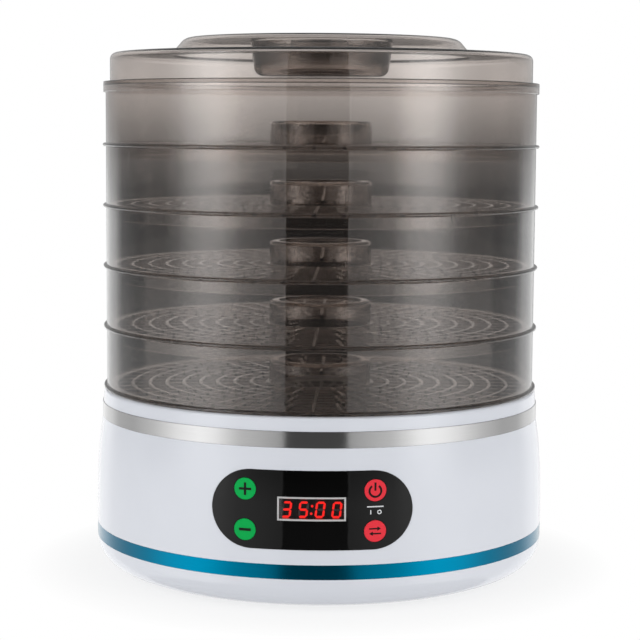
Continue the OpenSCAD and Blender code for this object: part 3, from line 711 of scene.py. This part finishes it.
# All in millimetres, as block and spun take them
BOARD_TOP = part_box("power_board")[1].z / MM
BOARD_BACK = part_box("control_board")[1].y / MM
RESISTOR_XS = [-27.5 + 3.8 * i for i in range(3)]
RESISTOR_Z = BOARD_TOP + 1.7
LEAD_R = 0.3


def resistors(made):
    for x in RESISTOR_XS:
        spun(made, (x, 75, RESISTOR_Z), (0, 1, 0),
             [(0, 0.9), (0.6, 1.25), (2.2, 1.25), (2.8, 1.0),
              (6.2, 1.0), (6.8, 1.25), (8.4, 1.25), (9, 0.9)])


def resistor_leads(made):
    near, far = 73.2, 85.8
    for x in RESISTOR_XS:
        spun(made, (x, near, RESISTOR_Z), (0, 1, 0), [(0, LEAD_R), (far - near, LEAD_R)], 8)
        for y in (near, far):
            spun(made, (x, y, BOARD_TOP - 1.9), (0, 0, 1), [(0, LEAD_R), (3.9, LEAD_R)], 8)


def diodes(made):
    for i in range(3):
        spun(made, (-15, 91.5 + 3.2 * i, BOARD_TOP + 1.5), (1, 0, 0),
             [(0, 1.1), (0.2, 1.3), (4.8, 1.3), (5, 1.1)])


def terminal_block(made):
    for i in range(2):
        low = 8 + 5.4 * i
        block(made, (low, 95, BOARD_TOP), (low + 5.2, 101, BOARD_TOP + 4.5))
        block(made, (low + 0.8, 96.2, BOARD_TOP + 4.4), (low + 4.4, 101, BOARD_TOP + 8))


def terminal_screws(made):
    for i in range(2):
        spun(made, (10.6 + 5.4 * i, 98.6, BOARD_TOP + 7.9), (0, 0, 1), [(0, 1.4), (0.7, 1.4), (1.0, 1.1)])


def chip(made):
    block(made, (-37, BOARD_BACK + 0.3, 56), (-25, BOARD_BACK + 2.0, 68))
    block(made, (10, BOARD_BACK + 0.3, 70), (16, BOARD_BACK + 1.8, 75))


def chip_pins(made):
    for i in range(8):
        z = 57.2 + 1.4 * i
        for x in (-38.4, -25.1):
            block(made, (x, BOARD_BACK, z - 0.25), (x + 1.5, BOARD_BACK + 0.6, z + 0.25))


def small_parts(made):
    for i in range(5):
        for x in (-19, -14.5, 12, 17):
            z = 48 + 4.6 * i
            block(made, (x, BOARD_BACK, z), (x + 2.0, BOARD_BACK + 0.7, z + 1.2))


board_piece("power_resistors", "fuse", resistors)
board_piece("power_resistor_leads", "screw_steel", resistor_leads, 0.00005)
board_piece("power_diodes", "capacitor", diodes)
board_piece("power_terminal_block", "green_board", terminal_block)
board_piece("power_terminal_screws", "screw_steel", terminal_screws)
board_piece("control_chip", "module_black", chip)
board_piece("control_chip_pins", "screw_steel", chip_pins, 0.00005)
board_piece("control_small_parts", "mica", small_parts, 0.0001)


# ---- Floor, backdrop and lights ----

def stage_piece(name, vertices, faces, material):
    """A mesh that belongs to the studio and not to the object."""
    mesh = bpy.data.meshes.new(name)
    mesh.from_pydata(vertices, [], faces)
    mesh.materials.append(material)
    piece = bpy.data.objects.new(name, mesh)
    bpy.context.scene.collection.objects.link(piece)
    return piece


def floor_material():
    """Pale floor with a painted white glow mixed in, a share of it under the object and all of it further
    out, so that its shade fades into white away from the object.
    """
    paint = Paint("studio_floor")
    paint.feed("Base Color", paint.blend(paint.noise(6.0, 2.0), (0.84, 0.84, 0.84), (0.88, 0.88, 0.88)))
    paint.feed("Roughness", paint.ramp(paint.noise(9.0, 2.0), 0.55, 0.65))
    # Painted light: the floor glows white, seven tenths glow from the middle out to 0.12 m and all glow
    # from 0.19 m on, which paints its shade out
    glow = paint.node("ShaderNodeEmission")
    glow.inputs["Color"].default_value = (1.0, 1.0, 1.0, 1.0)
    away = paint.node("ShaderNodeVectorMath", operation="LENGTH")
    paint.link(paint.place, away.inputs[0])
    painted_glow_share = paint.ramp(away.outputs["Value"], 0.7, 1.0, 0.12, 0.19)
    mix = paint.node("ShaderNodeMixShader")
    paint.link(painted_glow_share, mix.inputs[0])
    paint.link(paint.shader.outputs[0], mix.inputs[1])
    paint.link(glow.outputs[0], mix.inputs[2])
    paint.link(mix.outputs[0], paint.output.inputs["Surface"])
    return paint.material


FLOOR_HALF = 6.0
FLOOR_Z = -0.05 * MM
floor_corners = [(x * FLOOR_HALF, y * FLOOR_HALF, FLOOR_Z) for x, y in ((-1, -1), (1, -1), (1, 1), (-1, 1))]
floor = stage_piece("studio_floor", floor_corners, [(0, 1, 2, 3)], floor_material())
floor.visible_glossy = False
floor.visible_transmission = False

# How bright the wall of soft light is: a row for each height in metres, and in it a value for each turn
# in degrees from the front, the same on both sides
LIGHT_TURNS = (0, 15.4, 15.8, 17, 28, 38, 45, 52, 60, 68, 76, 84, 92, 109, 125, 135, 158, 166, 180)
LIGHT_ROWS = {
    -0.5: (.30, .30, .95, .9, 1.2, 1.4, 1.8, 2.3, 2.5, 2.4, 2.2, 1.8, 1.4, 1.1, 1.1, 1.3, 1.2, 0.9, 0.9),
    -0.42: (.10, .10, .95, .9, 1.2, 1.4, 1.8, 2.3, 2.5, 2.4, 2.2, 1.8, 1.4, 1.0, 1.0, 1.3, 1.2, 0.9, 0.9),
    -0.2: (.14, .14, 1.0, .95, 1.2, 1.4, 1.9, 2.4, 2.6, 2.4, 2.1, 1.7, 1.4, .95, .95, 1.3, 1.2, 0.7, 0.6),
    0.1: (.05, .05, .9, .6, .8, 1.2, 2.3, 3.3, 3.4, 2.4, 1.1, .6, .5, .5, .6, 1.4, 1.3, 0.5, 0.4),
    0.3: (.05, .05, .9, .6, .85, 1.2, 2.4, 3.6, 3.8, 2.8, 1.3, .6, .45, .4, .4, .5, .6, 0.4, 0.3),
}


BACK_FROM = 100


def light_at(turn, z):
    """Brightness at a turn and height, by straight lines between the rows and turns above."""
    rows = sorted(LIGHT_ROWS)
    z = min(max(z, rows[0]), rows[-1])
    under, over = next((a, b) for a, b in zip(rows, rows[1:]) if z <= b)
    k = next(i for i, t in enumerate(LIGHT_TURNS[1:]) if abs(turn) <= t)
    across = (abs(turn) - LIGHT_TURNS[k]) / (LIGHT_TURNS[k + 1] - LIGHT_TURNS[k])
    low, high = (row[k] + (row[k + 1] - row[k]) * across for row in (LIGHT_ROWS[under], LIGHT_ROWS[over]))
    return low + (high - low) * (z - under) / (over - under)


def light_material():
    """Lit fabric. Seen through the clear trays it fades from dark at the foot to light at the top."""
    material = bpy.data.materials.new("light_ring")
    material.use_nodes = True
    tree = material.node_tree
    tree.nodes.clear()
    shine = tree.nodes.new("ShaderNodeAttribute")
    shine.attribute_name = "shine"
    behind = tree.nodes.new("ShaderNodeAttribute")
    behind.attribute_name = "behind"
    path = tree.nodes.new("ShaderNodeLightPath")
    choose = tree.nodes.new("ShaderNodeMix")
    tree.links.new(path.outputs["Is Transmission Ray"], choose.inputs[0])
    tree.links.new(shine.outputs["Fac"], choose.inputs[2])
    tree.links.new(behind.outputs["Fac"], choose.inputs[3])
    glow = tree.nodes.new("ShaderNodeEmission")
    tree.links.new(choose.outputs[0], glow.inputs["Strength"])
    output = tree.nodes.new("ShaderNodeOutputMaterial")
    tree.links.new(glow.outputs[0], output.inputs["Surface"])
    return material


def add_light_ring(radius=2.4, low=-2.0, high=2.2):
    """A wall of light all round the object, which the camera itself doesn't see."""
    heights = [low, -1.2, -0.6, -0.45, -0.2, 0.0, 0.09, 0.15, 0.21, 0.27, 0.33, 0.39, 0.45, high]
    through = [0.7, 0.6, 0.02, 0.02, 0.02, 0.02, 0.02, 0.05, 0.14, 0.36, 0.66, 0.78, 0.95, 0.95]
    turns = sorted({t * s for s in (-1, 1) for t in LIGHT_TURNS} | {5 * i for i in range(-36, 37)})
    vertices, shine, behind = [], [], []
    for turn in turns:
        for z, value in zip(heights, through):
            spread = 30.0 * max(0.0, min(-z, 0.6) - 0.45) * (1 - abs(turn) / 180)
            t = math.radians(turn + math.copysign(spread, turn) if turn else 0.0)
            vertices.append((radius * math.sin(t), -radius * math.cos(t), z))
            shine.append(light_at(turn, z))
            behind.append(value if abs(turn) > BACK_FROM else light_at(turn, z))
    rows = len(heights)
    faces = [(i * rows + k, i * rows + k + 1, (i + 1) * rows + k + 1, (i + 1) * rows + k)
             for i in range(len(turns) - 1) for k in range(rows - 1)]
    piece = stage_piece("light_ring", vertices, faces, light_material())
    for name, values in (("shine", shine), ("behind", behind)):
        piece.data.attributes.new(name, "FLOAT", "POINT").data.foreach_set("value", values)
    piece.visible_camera = False


add_light_ring()


def add_world():
    """White where the camera sees past the object, and a soft grey for its reflections."""
    world = bpy.data.worlds.new("studio")
    world.use_nodes = True
    tree = world.node_tree
    tree.nodes.clear()
    seen = tree.nodes.new("ShaderNodeBackground")
    seen.inputs["Color"].default_value = (1.0, 1.0, 1.0, 1.0)
    around = tree.nodes.new("ShaderNodeBackground")
    around.inputs["Color"].default_value = (1.0, 1.0, 1.0, 1.0)
    around.inputs["Strength"].default_value = 0.5
    path = tree.nodes.new("ShaderNodeLightPath")
    mix = tree.nodes.new("ShaderNodeMixShader")
    output = tree.nodes.new("ShaderNodeOutputWorld")
    tree.links.new(path.outputs["Is Camera Ray"], mix.inputs[0])
    tree.links.new(around.outputs[0], mix.inputs[1])
    tree.links.new(seen.outputs[0], mix.inputs[2])
    tree.links.new(mix.outputs[0], output.inputs["Surface"])
    bpy.context.scene.world = world


add_world()

scene = bpy.context.scene
scene.view_settings.view_transform = "Standard"
scene.cycles.max_bounces = 32
scene.cycles.transmission_bounces = 32
scene.cycles.transparent_max_bounces = 64
scene.cycles.glossy_bounces = 8
scene.cycles.diffuse_bounces = 4
